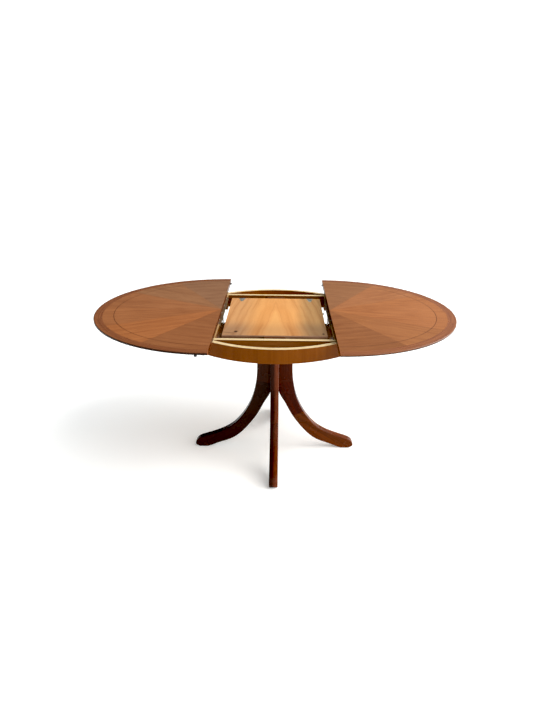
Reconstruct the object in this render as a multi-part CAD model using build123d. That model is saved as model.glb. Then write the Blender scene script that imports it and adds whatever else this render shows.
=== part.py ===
from build123d import *
import math
import os

os.makedirs("parts", exist_ok=True)

# Round extending table on a pedestal of four sabre legs, drawn open, with its leaf folded and
# stored in the frame. Millimetres, +Z up, origin on the floor under the middle of the table.
# +X is the way the right half of the top slides; the user of the front side looks along +Y.

# ---------------------------------------------------------------- overall sizes
table_height = 724.0
top_radius = 575.0
half_travel = 253.0  # each half stands this far out from the middle when the table is open
closed_gap = 0.6  # between the two cut edges when the table is closed

# ---------------------------------------------------------------- top halves
top_thickness = 22.0
band_width = 38.0  # solid edge band around the veneered half disc
band_edge_height = 8.0  # upright part of the rim, above the wide under-bevel
rim_round = 1.5
glide_height = 3.0  # low-friction pads between the top and the rails
glide_length, glide_width = 28.0, 14.0
glide_from_cut = 6.0

pin_radius = 4.0  # locating pins in the cut edges
pin_reach = 10.0
pin_seat = 14.0
pin_hole_clearance = 0.3
pin_depth = 10.0  # pin axis below the top surface
left_pin_y, right_pin_y = top_radius - 69.0, top_radius - 81.0

# ---------------------------------------------------------------- frame (drum)
frame_radius = 460.0  # outer face of the curved aprons
board = 20.0  # thickness of aprons and rails
frame_height = 63.0
rail_face_y = 334.0  # inner face of the straight rails
cross_face_x = 248.0  # inner face of the cross rails
hollow_height = 48.0  # under a cross rail, beside its foot
hollow_front, hollow_back = -100.0, 278.0
foot_inner_x = 258.0  # the foot stands on the bearer
dowel_radius = 4.0
corner_block_height = 20.0

# ---------------------------------------------------------------- runners
runner_width = 17.0
runner_height = 30.0
runner_drop = 14.0  # packing between the top and the runner
runner_from_band = 24.0  # from a runner's outer end to the edge band
runner_end_x = 8.0  # inner end of an open runner, from the middle
runner_taper = 65.0  # the outer end is thinned from below over this length
runner_tip_height = 10.0
batten_length = 118.0
lane_gap = 1.0
slide_clearance = 0.5
guide_half_length = 45.0
guide_wall = 4.0
guide_roof = 5.5

# ---------------------------------------------------------------- folding leaf
leaf_width = 450.0
leaf_half_length = 574.0
leaf_thickness = 20.0
leaf_edge_strip = 24.0
leaf_drop = 28.0  # upper face of the stored leaf, below the top surface
fold_gap = 1.0  # between the show faces when folded
fold_edge_gap = 0.5  # between the fold edges when laid flat
hinge_x = 172.0
hinge_width = 35.0
hinge_tip = 57.0
hinge_plate = 2.0
knuckle_radius = 3.0
knuckle_clearance = 0.4
hinge_pin_radius = 1.5
running_clearance = 0.05
finger_pull_x = -47.5
finger_pull = (50.0, 9.0, 3.0)  # width, height and depth of the groove in the front edge
side_pin_y = 62.0
side_pin_reach = 8.0

# ---------------------------------------------------------------- leaf swing mechanism
arm_x = 180.0
arm_thickness = 6.0
arm_width = 14.0
bar_radius = 4.0
bracket_drop = 14.0  # from the lower board down to the brackets' pins
angle_web = 3.0
angle_flange = 1.5
angle_flange_in, angle_flange_over = 4.5, 15.0  # past the rail's inner face, and over its top
angle_y = (-150.0, 285.0)
angle_below_bar = 9.0
bracket_plate = 3.0
lug_gap = 1.5

# ---------------------------------------------------------------- pedestal
bearer_width = 40.0
bearer_height = 52.0
bearer_end_height = 24.0
bearer_flat = 140.0  # the long bearer's underside tapers outside this distance from the middle
pad_height, pad_inner_x = 16.0, 229.0  # pads on the ends of the short bearer, beside the bar
leg_thickness = 40.0
column_radius = 86.0  # outer face of the upright part of a leg
knee_height = 443.0  # where the upright part turns into the sweep
foot_reach = 399.0
crotch_height = 311.0  # where the undersides of the legs meet the core
edge_round, under_round = 5.0, 3.0
sole_thickness = 3.0
sole_length, sole_width = 50.0, 34.0
sole_centre = 357.0

# heights that follow from the sizes above
top_under = table_height - top_thickness
frame_top = top_under - glide_height
frame_bottom = frame_top - frame_height
runner_top = top_under - runner_drop
runner_bottom = runner_top - runner_height
column_top = frame_bottom - bearer_height
leaf_top = table_height - leaf_drop
upper_show = leaf_top - leaf_thickness
lower_show = upper_show - fold_gap
leaf_bottom = lower_show - leaf_thickness
bar_height = leaf_bottom - bracket_drop
core_half = leg_thickness / 2
core_bottom = crotch_height - 11.0


def block(x, y, z):
    """A box between two values along each axis."""
    middle = [(a + b) / 2 for a, b in (x, y, z)]
    return Pos(*middle) * Box(*[abs(b - a) for a, b in (x, y, z)])


def rod(start, end, radius):
    """A round bar from one point to another."""
    line = Vector(*end) - Vector(*start)
    base = Plane(origin=start, z_dir=line)
    return base * Cylinder(radius, line.length, align=(Align.CENTER, Align.CENTER, Align.MIN))


def turned(start, end, outline):
    """A turned piece from (distance, radius) points along a line."""
    line = Vector(*end) - Vector(*start)
    points = [(0, outline[0][0])] + [(r, t) for t, r in outline] + [(0, outline[-1][0])]
    section = Plane.XZ * make_face(Polyline(*points, close=True))
    return Plane(origin=start, z_dir=line) * revolve(section, Axis.Z)


def wood_screw(head, tip, shank=2.5, head_radius=4.5, head_height=3.0):
    """A countersunk screw, from the middle of its head to its tip."""
    length = (Vector(*tip) - Vector(*head)).length
    point = [(length - 4, shank), (length, 0.4)]
    return turned(head, tip, [(0, head_radius), (head_height, shank)] + point)


def spin(shape, turn):
    """A copy turned about the upright axis through the middle of the table."""
    return Rot(0, 0, turn) * shape


def mirrored_y(shape):
    return mirror(shape, about=Plane.XZ)


def save(name, *solids):
    whole = solids[0] if len(solids) == 1 else Compound(list(solids))
    export_step(whole, f"parts/{name}.step")


# ================================================================ top halves
def half_side(side):
    """The half space outside the cut edge of one half of the open top."""
    far = 2 * top_radius + half_travel
    x = (half_travel, far) if side > 0 else (-far, -half_travel)
    return block(x, (-2 * top_radius, 2 * top_radius), (0, 2 * table_height))


def pin_height():
    return table_height - pin_depth


def edge_hole(side, y, depth):
    """A blind hole in a cut edge for a locating pin."""
    start = (side * half_travel, y, pin_height())
    end = (side * (half_travel + depth), y, pin_height())
    return rod(start, end, pin_radius + pin_hole_clearance)


def top_panel(side):
    upwards = (Align.CENTER, Align.CENTER, Align.MIN)
    disc = Cylinder(top_radius - band_width, top_thickness, align=upwards)
    panel = Pos(side * half_travel, 0, top_under) * disc & half_side(side)
    own_y, other_y = (left_pin_y, right_pin_y) if side < 0 else (right_pin_y, left_pin_y)
    seat = (side * (half_travel + pin_seat), own_y, pin_height())
    panel -= rod((side * half_travel, own_y, pin_height()), seat, pin_radius)
    panel -= edge_hole(side, other_y, pin_reach + 3)
    if side > 0:
        panel -= edge_hole(side, side_pin_flat_y, side_pin_reach + 3)
    return panel


def edge_band(side):
    inner, outer = top_radius - band_width, top_radius
    rim_bottom = table_height - band_edge_height
    with BuildLine(Plane.XZ) as outline:
        Polyline(
            (outer - rim_round, table_height), (inner, table_height), (inner, top_under),
            (outer, rim_bottom), (outer, table_height - rim_round),
        )
        Line((outer, table_height - rim_round), (outer - rim_round, table_height))
    ring = revolve(make_face(outline.line), Axis.Z)
    return Pos(side * half_travel, 0, 0) * ring & half_side(side)


fold_y = leaf_half_length / 2 + fold_edge_gap / 2
fold_z = (upper_show + lower_show) / 2
side_pin_flat_y = fold_y - side_pin_y  # where the side pin lies once the leaf is flat

lock_from_cut, lock_y = 22.0, top_radius - 63.0  # place of a lever's pivot
lock_reach = 34.0  # from the lever's pivot to the keeper's stud, once the table is closed
lock_pivot = (half_travel + lock_from_cut, lock_y)
stud_x = half_travel + lock_reach - lock_from_cut - closed_gap
lock_plate = 2.0
lever_thickness = 3.0
stud_radius = 2.5


def lock_lever():
    """Front lever, stowed away from the cut edge. Its slot leads when it swings past the frame."""
    x, y = -lock_pivot[0], -lock_pivot[1]
    z = top_under - lock_plate - 2.0
    arm = block((x - lock_reach, x), (y - 6, y + 6), (z - lever_thickness, z))
    for centre in (x, x - lock_reach):
        arm += rod((centre, y, z - lever_thickness), (centre, y, z), 8.0)
    slot_x = x - lock_reach
    reach = stud_radius + 0.4
    slot = rod((slot_x, y, z - 10), (slot_x, y, z + 10), reach)
    slot += block((slot_x - reach, slot_x + reach), (y, y + 12), (z - 10, z + 10))
    tab = block((x - 37, x - 25), (y - 6, y - 3), (z - 11.5, z - lever_thickness))
    tab = fillet(tab.edges().filter_by(Axis.Y).group_by(Axis.Z)[0], 3.0)
    pivot_hole = rod((x, y, z - 10), (x, y, z + 10), 3.0 + running_clearance)
    return arm + tab - slot - pivot_hole


def lock_base():
    """Plate, pivot stud and its head, under the left half."""
    x, y = -lock_pivot[0], -lock_pivot[1]
    plate = block((x - 18, x + 18), (y - 11, y + 11), (top_under - lock_plate, top_under))
    plate = fillet(plate.edges().filter_by(Axis.Z), 4.0)
    lever_low = top_under - lock_plate - 2.0 - lever_thickness
    pivot = rod((x, y, lever_low - 0.5), (x, y, top_under - lock_plate), 3.0)
    washer = rod((x, y, top_under - lock_plate - 1.8), (x, y, top_under - lock_plate), 6.0)
    head = rod((x, y, lever_low - 2.5), (x, y, lever_low - 0.5), 6.0)
    return plate + pivot + washer + head


def keeper():
    """Plate and stud that a closed lever hooks on, under the right half."""
    x = stud_x
    y = -lock_pivot[1]
    plate = block((x - 9, x + 27), (y - 9, y + 9), (top_under - lock_plate, top_under))
    plate = fillet(plate.edges().filter_by(Axis.Z), 4.0)
    stud = rod((x, y, top_under - 10), (x, y, top_under - lock_plate), stud_radius)
    return plate + stud


def lock_screws():
    """Two screws through each base plate and each keeper, heads under the plates."""
    left = [-lock_pivot[0] + d for d in (-13, 13)]
    right = [stud_x + d for d in (10, 20)]
    found = []
    for places in (left, right):
        front = []
        for x in places:
            head = (x, -lock_pivot[1], top_under - lock_plate - 1.2)
            tip = (x, -lock_pivot[1], top_under + 12)
            front.append(turned(head, tip, [(0, 1.6), (1.2, 3.0), (1.21, 1.6), (11, 1.6), (14, 0.3)]))
        found.append(front + [mirrored_y(s) for s in front])
    return found


def locating_pin(side):
    """The black pin on the left is round-nosed, the grey one on the right is pointed."""
    y = left_pin_y if side < 0 else right_pin_y
    start = (side * (half_travel + pin_seat), y, pin_height())
    tip = (side * (half_travel - pin_reach), y, pin_height())
    length = pin_seat + pin_reach
    taper_length, tip_radius = (3, 2.2) if side < 0 else (7, 0.6)
    nose = [(length - taper_length, pin_radius), (length, tip_radius)]
    return turned(start, tip, [(0, pin_radius)] + nose)


def lane(outer):
    """Inner and outer Y of a runner lane in the front channel, measured from the middle."""
    high = rail_face_y - lane_gap
    if not outer:
        high -= runner_width + lane_gap
    return high - runner_width, high


def runner_x():
    """Outer and inner end of a left runner. The outer end stays inside the edge band."""
    chord = math.sqrt((top_radius - band_width) ** 2 - (rail_face_y - lane_gap) ** 2)
    return runner_from_band - half_travel - chord, -runner_end_x


def lane_front_back():
    """Y spans of the left half's two runners: inner lane in front, outer lane at the back."""
    inner, outer = lane(False), lane(True)
    return [(-inner[1], -inner[0]), (outer[0], outer[1])]


def runner_under(along):
    """Height of a runner's underside at a distance from its outer end."""
    share = min(along / runner_taper, 1.0)
    return runner_top - runner_tip_height - (runner_height - runner_tip_height) * share


def left_runners():
    start, end = runner_x()
    found = []
    for span in lane_front_back():
        outline = Polyline(
            (start, runner_top), (end, runner_top), (end, runner_bottom + 3), (end - 3, runner_bottom),
            (start + runner_taper, runner_bottom), (start, runner_under(0)), close=True,
        )
        side = Plane.XZ.offset(-span[1]) * make_face(outline)
        found.append(extrude(side, runner_width))
    return found


def left_battens():
    start = runner_x()[0]
    spans = lane_front_back()
    return [block((start, start + batten_length), span, (runner_top, top_under)) for span in spans]


def left_runner_screws():
    start = runner_x()[0]
    found = []
    for span in lane_front_back():
        y = sum(span) / 2
        for along in (18.0, batten_length / 2, batten_length - 18.0):
            x = start + along
            found.append(wood_screw((x, y, runner_under(along) + 1), (x, y, top_under + 12)))
    return found


def left_glides():
    y = rail_face_y + board / 2
    x = -(half_travel + glide_from_cut)
    found = []
    for side in (-1, 1):
        span = (side * y - glide_width / 2, side * y + glide_width / 2)
        found.append(block((x - glide_length, x), span, (frame_top, top_under)))
    return found


runner_screws_left = left_runner_screws()
lock_screws_left, lock_screws_right = lock_screws()
for side, name in ((-1, "left"), (1, "right")):
    panel = top_panel(side)
    for screw in lock_screws_left if side < 0 else lock_screws_right:
        panel -= screw
    for screw in runner_screws_left:
        panel -= screw if side < 0 else spin(screw, 180)
    save(f"top_{name}_panel", panel)
    save(f"top_{name}_edge_band", edge_band(side))
    save(f"top_{name}_locating_pin", locating_pin(side))
    half_turn = 0 if side < 0 else 180
    runners, battens = left_runners(), left_battens()
    for screw in runner_screws_left:
        runners = [bar - screw for bar in runners]
        battens = [batten - screw for batten in battens]
    save(f"runners_{name}", *[spin(bar, half_turn) for bar in runners])
    save(f"runner_battens_{name}", *[spin(batten, half_turn) for batten in battens])
    own_lock_screws = lock_screws_left if side < 0 else lock_screws_right
    save(f"top_{name}_screws", *own_lock_screws, *[spin(s, half_turn) for s in runner_screws_left])
    save(f"glide_pads_{name}", *[spin(s, half_turn) for s in left_glides()])
save("lock_lever_front", lock_lever())
save("lock_lever_back", mirrored_y(lock_lever()))
bases = [lock_base(), mirrored_y(lock_base())]
keepers = [keeper(), mirrored_y(keeper())]
for screw in lock_screws_left:
    bases = [plate - screw for plate in bases]
for screw in lock_screws_right:
    keepers = [plate - screw for plate in keepers]
save("lock_bases", *bases)
save("lock_keepers", *keepers)


# ================================================================ frame
rail_outer_y = rail_face_y + board
rail_half = math.sqrt(frame_radius**2 - rail_outer_y**2)
cross_outer_x = cross_face_x + board


def frame_dowels():
    """Dowels through the rail ends into the cross rails, and from the rails into the aprons."""
    low = frame_bottom + 10.75
    found = []
    for sx in (-1, 1):
        for sy in (-1, 1):
            x = sx * (cross_face_x + board / 2)
            ends = [(x, sy * (rail_face_y + reach), low) for reach in (-25, 12)]
            found.append(rod(*ends, dowel_radius))
            x = sx * (rail_half - board)
            for z in (frame_bottom + 16, frame_top - 16):
                ends = [(x, sy * (rail_outer_y + reach), z) for reach in (-7, 8)]
                found.append(rod(*ends, dowel_radius))
    return found


def apron():
    """Back apron: an arc of a ring that stands on the outer face of the back rail."""
    tall = Pos(0, 0, frame_bottom) * Cylinder(
        frame_radius, frame_height, align=(Align.CENTER, Align.CENTER, Align.MIN)
    )
    hollow = Cylinder(frame_radius - board, 2 * table_height)
    beyond = block((-frame_radius, frame_radius), (rail_outer_y, frame_radius + 1), (0, table_height))
    return (tall - hollow) & beyond


def rail():
    return block((-rail_half, rail_half), (rail_face_y, rail_outer_y), (frame_bottom, frame_top))


def runner_window(x):
    """The way through a cross piece for the two lanes of the back channel."""
    z = (runner_bottom - slide_clearance, runner_top + slide_clearance)
    return block(x, (lane(False)[0] - slide_clearance, rail_face_y), z)


def cross_rail():
    """Right cross rail, notched at its ends for the runners and hollow underneath beside its foot."""
    x = (cross_face_x, cross_outer_x)
    foot_y = (-bearer_width / 2, bearer_width / 2)
    hollow_z = (frame_bottom, frame_bottom + hollow_height)
    bar = block(x, (-rail_face_y, rail_face_y), (frame_bottom, frame_top))
    window = runner_window(x)
    hollow = block(x, (hollow_front, hollow_back), hollow_z)
    hollow -= block((foot_inner_x, cross_outer_x), foot_y, hollow_z)
    return bar - window - mirrored_y(window) - hollow


def runner_guide():
    """Back guide: hooks over and under both runners at the middle of the rail."""
    x = (-guide_half_length, guide_half_length)
    inner = lane(False)[0] - slide_clearance - guide_wall
    z = (runner_bottom - 18.0, runner_top + slide_clearance + guide_roof)
    return block(x, (inner, rail_face_y), z) - runner_window(x)


def corner_blocks():
    """Three-cornered glue blocks outside the cross rails, below the runners."""
    found = []
    for sx in (-1, 1):
        for sy in (-1, 1):
            x, y = sx * cross_outer_x, sy * rail_face_y
            reach = (sx * (rail_half - cross_outer_x - 3), -sy * 30)
            face = make_face(Polyline((x, y), (x + reach[0], y), (x, y + reach[1]), close=True))
            found.append(Pos(0, 0, frame_bottom) * extrude(face, corner_block_height))
    return found


dowels = frame_dowels()
cross_right = cross_rail()
aprons = {"back": apron(), "front": mirrored_y(apron())}
rails = {"back": rail(), "front": mirrored_y(rail())}
crosses = {"right": cross_right, "left": mirror(cross_right, about=Plane.YZ)}


# ================================================================ pedestal
def short_bearer():
    """The short bearer along X, with a low pad at each end."""
    width = (-bearer_width / 2, bearer_width / 2)
    bar = block((-cross_outer_x, cross_outer_x), width, (column_top, frame_bottom))
    pad = block((pad_inner_x, foot_inner_x), width, (frame_bottom, frame_bottom + pad_height))
    return bar + pad + mirror(pad, about=Plane.YZ)


def long_bearer():
    """The long bearer along Y, tapered underneath towards its ends."""
    half = rail_outer_y
    low_end = frame_bottom - bearer_end_height
    outline = Polyline(
        (-half, frame_bottom), (half, frame_bottom), (half, low_end), (bearer_flat, column_top),
        (-bearer_flat, column_top), (-half, low_end), close=True,
    )
    return extrude(Plane.YZ.offset(-bearer_width / 2) * make_face(outline), bearer_width)


bolt_radius = 5.0
bolt_bottom = column_top - 114.0
bolt_head_seat = frame_bottom - 20.0
lap = bearer_width / 2
lap_height = frame_bottom - bearer_height / 2

leg_shape_outer = [(0.022, 0.790), (0.105, 0.573), (0.236, 0.406), (0.396, 0.280), (0.636, 0.184)]
leg_instep = (0.872, 0.125)
leg_toe = [(0.968, 0.087), (1.0, 0.034)]
leg_shape_under = [
    (0.715, 0.043), (0.493, 0.119), (0.370, 0.205), (0.264, 0.311), (0.158, 0.445), (0.074, 0.582),
]
upper_joint = ((60.0, 362.0), 7.0)  # a point of the glue line and its slope in degrees
lower_joint = ((120.0, 192.0), 27.0)


def leg_outline():
    """Side view of a leg as (distance from the middle, height)."""
    sweep = foot_reach - column_radius
    run = foot_reach - core_half

    def outer(f, g):
        return column_radius + f * sweep, g * knee_height

    def under(f, g):
        return core_half + f * run, g * knee_height

    knee = (column_radius, knee_height)
    instep, toe = outer(*leg_instep), [outer(*p) for p in leg_toe]
    heel, tip = sole_centre - sole_length / 2 - 2, sole_centre + sole_length / 2 + 3
    crotch = (core_half, crotch_height)
    with BuildLine() as outline:
        Line((core_half, column_top), (column_radius, column_top))
        Line((column_radius, column_top), knee)
        Spline(knee, *[outer(*p) for p in leg_shape_outer], instep, *toe, (tip, sole_thickness),
               tangents=[(0, -1), (-1, -0.5)])
        Line((tip, sole_thickness), (heel, sole_thickness))
        Spline((heel, sole_thickness), *[under(*p) for p in leg_shape_under], crotch,
               tangents=[(-1, 0.3), (-0.3, 1)])
        Line(crotch, (core_half, column_top))
    return make_face(outline.line)


def whole_leg():
    """The leg with its long edges rounded, more along the outside than underneath."""
    leg = extrude(Plane.XZ.offset(-leg_thickness / 2) * leg_outline(), leg_thickness)
    for radius, above in ((edge_round, True), (under_round, False)):
        edges = [
            e for e in leg.edges()
            if e.length > (130 if above else 300) and e.center().X > core_half + 1
            and (max(v.Z for v in e.vertices()) > crotch_height + 1) == above
        ]
        leg = fillet(edges, min(radius, leg_thickness / 3))
    return leg


def glue_plane(joint):
    (r, z), slope = joint
    a = math.radians(slope)
    along, across = (math.cos(a), 0, math.sin(a)), (-math.sin(a), 0, math.cos(a))
    return Plane(origin=(r, 0, z), x_dir=along, z_dir=across)


def leg_blocks():
    """One leg along +X as its three glued blocks."""
    leg = whole_leg()
    sides = (Keep.TOP, Keep.BOTTOM)
    upper, rest = [split(leg, bisect_by=glue_plane(upper_joint), keep=side) for side in sides]
    knee, foot = [split(rest, bisect_by=glue_plane(lower_joint), keep=side) for side in sides]
    return upper, knee, foot


def joint_dowels(joint, spread):
    """Two dowels across a glue joint of the leg along +X."""
    plane = glue_plane(joint)
    found = []
    for side in (-spread, spread):
        low, high = [plane.origin + plane.x_dir * side + plane.z_dir * h for h in (-18, 18)]
        found.append(rod(tuple(low), tuple(high), dowel_radius))
    return found


def core_dowels(heights):
    """Dowels from the core post into the leg along +X."""
    return [rod((core_half - 13, 0, z), (core_half + 27, 0, z), 5.0) for z in heights]


def sole():
    x = (sole_centre - sole_length / 2, sole_centre + sole_length / 2)
    plate = block(x, (-sole_width / 2, sole_width / 2), (0, sole_thickness))
    return fillet(plate.edges().filter_by(Axis.Z), 8.0)


column_screw_r = 60.0
column_screws = []
for turn in (0, 90, 180, 270):
    seat = frame_bottom - 10
    screw = wood_screw((column_screw_r, 0, seat), (column_screw_r, 0, column_top - 68), 3.0, 6.0, 4.0)
    column_screws.append(spin(screw, turn))
screw_way = rod((column_screw_r, 0, frame_bottom - 10), (column_screw_r, 0, table_height), 7.0)
screw_ways = [spin(screw_way, turn) for turn in (0, 90, 180, 270)]

rail_screws = []
taper = (bearer_height - bearer_end_height) / (rail_outer_y - bearer_flat)
low_at_rail = frame_bottom - bearer_end_height - taper * board / 2
foot_middle = (foot_inner_x + cross_outer_x) / 2
for along, turn, low in ((foot_middle, 0, column_top), (rail_face_y + board / 2, 90, low_at_rail)):
    start = low + 4
    for across in (-10, 10):
        screw = wood_screw((along, across, start), (along, across, frame_bottom + 28))
        rail_screws += [spin(screw, turn), spin(screw, turn + 180)]

centre_bolt = turned(
    (0, 0, bolt_head_seat + 8), (0, 0, bolt_bottom),
    [(0, 8.0), (6.5, 8.0), (6.51, bolt_radius), (bolt_head_seat + 8 - bolt_bottom, bolt_radius)],
)
washer = rod((0, 0, bolt_head_seat - 1), (0, 0, bolt_head_seat + 1.49), 13.0)
washer -= rod((0, 0, 0), (0, 0, table_height), bolt_radius + 0.3)
nut = block((-9, 9), (-9, 9), (bolt_bottom + 6, bolt_bottom + 16))
nut -= rod((0, 0, 0), (0, 0, table_height), bolt_radius)
bolt_way = rod((0, 0, bolt_bottom - 4), (0, 0, table_height), bolt_radius + 0.3)
washer_way = rod((0, 0, bolt_head_seat - 1), (0, 0, table_height), 13.5)

notch_floor = bar_height - arm_width / 2 - 4
slot_floor = bar_height - angle_below_bar - 2
bearer_x = short_bearer() - block((-lap, lap), (-lap, lap), (0, lap_height))
for sx in (-1, 1):
    notch = (sx * arm_x - arm_thickness / 2 - 2, sx * arm_x + arm_thickness / 2 + 2)
    bearer_x -= block(notch, (-bearer_width, bearer_width), (notch_floor, table_height))
    ear_slot = (sx * (cross_face_x - angle_web - 1), sx * cross_face_x)
    bearer_x -= block(ear_slot, (-bearer_width, bearer_width), (slot_floor, table_height))
bar_way = (-bar_radius - 2, bar_radius + 2)
bearer_x -= block((-cross_face_x, cross_face_x), bar_way, (bar_height - bar_radius - 0.5, table_height))
bearer_y = long_bearer() - block((-lap, lap), (-lap, lap), (lap_height, table_height))
for way in screw_ways + [bolt_way, washer_way]:
    bearer_x -= way
    bearer_y -= way
for screw in column_screws + rail_screws:
    bearer_x -= screw
    bearer_y -= screw
save("bearer_x", bearer_x)
save("bearer_y", bearer_y)

for name, shape in crosses.items():
    for tool in dowels + rail_screws:
        shape -= tool
    crosses[name] = shape
for place in ("front", "back"):
    for tool in dowels + rail_screws:
        rails[place] -= tool
        aprons[place] -= tool
    save(f"rail_{place}", rails[place])
    save(f"apron_{place}", aprons[place])
save("corner_blocks", *corner_blocks())
save("runner_guides", runner_guide(), mirrored_y(runner_guide()))

core = block((-core_half, core_half), (-core_half, core_half), (core_bottom, column_top))
core = fillet(core.edges().group_by(Axis.Z)[0], 5.0)
dowel_heights = {0: (column_top - 154, column_top - 64), 90: (column_top - 129, column_top - 39)}
all_core_dowels = []
leg_names = {0: "right", 90: "back", 180: "left", 270: "front"}
upper, knee, foot = leg_blocks()
joints = joint_dowels(upper_joint, 16) + joint_dowels(lower_joint, 11)
for tool in joints:
    upper, knee, foot = upper - tool, knee - tool, foot - tool
for turn, name in leg_names.items():
    own = core_dowels(dowel_heights[turn % 180])
    piece = upper
    for tool in own + [column_screws[0]]:
        piece -= tool
    save(f"leg_{name}_column_block", spin(piece, turn))
    save(f"leg_{name}_knee_block", spin(knee, turn))
    save(f"leg_{name}_foot_block", spin(foot, turn))
    all_core_dowels += [spin(d, turn) for d in own]
for tool in all_core_dowels + [bolt_way]:
    core -= tool
core -= block((-9, 9), (-core_half, 9), (bolt_bottom + 6, bolt_bottom + 16))
save("core_post", core)
save("dowels", *dowels, *all_core_dowels, *[spin(d, t) for t in leg_names for d in joints])
save("foot_soles", *[spin(sole(), t) for t in leg_names])
save("centre_bolt_set", centre_bolt, washer, nut)


# ================================================================ folding leaf
leaf_front, leaf_back = -leaf_half_length / 2, leaf_half_length / 2
leaf_x = (-leaf_width / 2, leaf_width / 2)


def fold_cylinder(radius, x0, x1):
    return rod((x0, fold_y, fold_z), (x1, fold_y, fold_z), radius)


def hinge_blank(x, under, show):
    """V plate let into the underside and the plate down the fold edge, before the knuckles."""
    inward = 1 if show > under else -1
    half, nose = hinge_width / 2, 4.0
    outline = Polyline(
        (x - half, leaf_back), (x + half, leaf_back), (x + nose, leaf_back - hinge_tip),
        (x - nose, leaf_back - hinge_tip), close=True,
    )
    plate = Pos(0, 0, under) * extrude(make_face(outline), inward * hinge_plate)
    return plate + block((x - half, x + half), (leaf_back - hinge_plate, leaf_back), (under, show))


def hinge_leaf(x, under, show, own, pin_hole):
    """V plate let into the underside, a plate down the fold edge and this leaf's knuckles."""
    inward = 1 if show > under else -1
    half = hinge_width / 2
    plate = hinge_blank(x, under, show)
    plate -= fold_cylinder(knuckle_radius + knuckle_clearance, x - half - 1, x + half + 1)
    for x0, x1 in own:
        plate += fold_cylinder(knuckle_radius, x + x0, x + x1)
        lip = (show - inward * (knuckle_radius + 1), fold_z - inward * 0.6)
        plate += block((x + x0, x + x1), (leaf_back - hinge_plate, leaf_back), lip)
    return plate - fold_cylinder(pin_hole, x - half - 1, x + half + 1)


def hinge_recess(x, under, show):
    """What a hinge takes out of a leaf board."""
    half = hinge_width / 2
    knuckles = fold_cylinder(knuckle_radius + knuckle_clearance, x - half, x + half)
    return hinge_blank(x, under, show) + knuckles


def hinge_screw_places(x):
    return [(x - 9, leaf_back - 12), (x + 9, leaf_back - 12), (x, leaf_back - 40)]


def hinge_screws(under, show):
    inward = 1 if show > under else -1
    found = []
    for sx in (-1, 1):
        for x, y in hinge_screw_places(sx * hinge_x):
            head = (x, y, under + inward * 0.2)
            found.append(wood_screw(head, (x, y, under + inward * 14), 1.5, 3.0, 1.7))
    return found


outer_knuckles = [(-hinge_width / 2, -6.0), (6.0, hinge_width / 2)]
middle_knuckle = [(-5.7, 5.7)]
turning = hinge_pin_radius + running_clearance
boards = {
    "upper": (leaf_top, upper_show, middle_knuckle, turning),
    "lower": (leaf_bottom, lower_show, outer_knuckles, hinge_pin_radius),
}
side_pin_height = upper_show + pin_depth
arm_sweep = 2 * math.atan2(leaf_half_length / 2 + fold_edge_gap / 2, table_height - lower_show)
arm_length = (table_height - lower_show) / math.sin(arm_sweep)

bracket_screw_places = [(-16.0, -14.0), (16.0, -14.0), (-16.0, 14.0), (16.0, 14.0)]
bracket_screw_grip = 13.0  # how deep the screws go into the board


def bracket_screw(x, y):
    """A screw up through a bracket's plate into the lower board."""
    head = (x, y, leaf_bottom - bracket_plate)
    return wood_screw(head, (x, y, leaf_bottom + bracket_screw_grip), 2.0, 3.8, 2.2)


def bracket(sx):
    """U bracket under the lower board, with the cross pin that the arm turns on."""
    x, y = sx * arm_x, arm_length
    half = arm_thickness / 2 + lug_gap
    plate = block((x - 22, x + 22), (y - 20, y + 20), (leaf_bottom - bracket_plate, leaf_bottom))
    plate = fillet(plate.edges().filter_by(Axis.Z), 5.0)
    for d in (-1, 1):
        a, b = sorted((x + d * half, x + d * (half + bracket_plate)))
        plate += block((a, b), (y - 8, y + 8), (bar_height, leaf_bottom))
        plate += rod((a, y, bar_height), (b, y, bar_height), 8.0)
    plate -= rod((x - 30, y, bar_height), (x + 30, y, bar_height), bar_radius)
    for px, py in bracket_screw_places:
        plate -= bracket_screw(x + px, y + py)
    return plate


def bracket_pin(sx):
    x = sx * arm_x
    half = arm_thickness / 2 + lug_gap + bracket_plate + 1
    return rod((x - half, arm_length, bar_height), (x + half, arm_length, bar_height), bar_radius)


bracket_screws = []
for sx in (-1, 1):
    for px, py in bracket_screw_places:
        bracket_screws.append(bracket_screw(sx * arm_x + px, arm_length + py))

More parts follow.
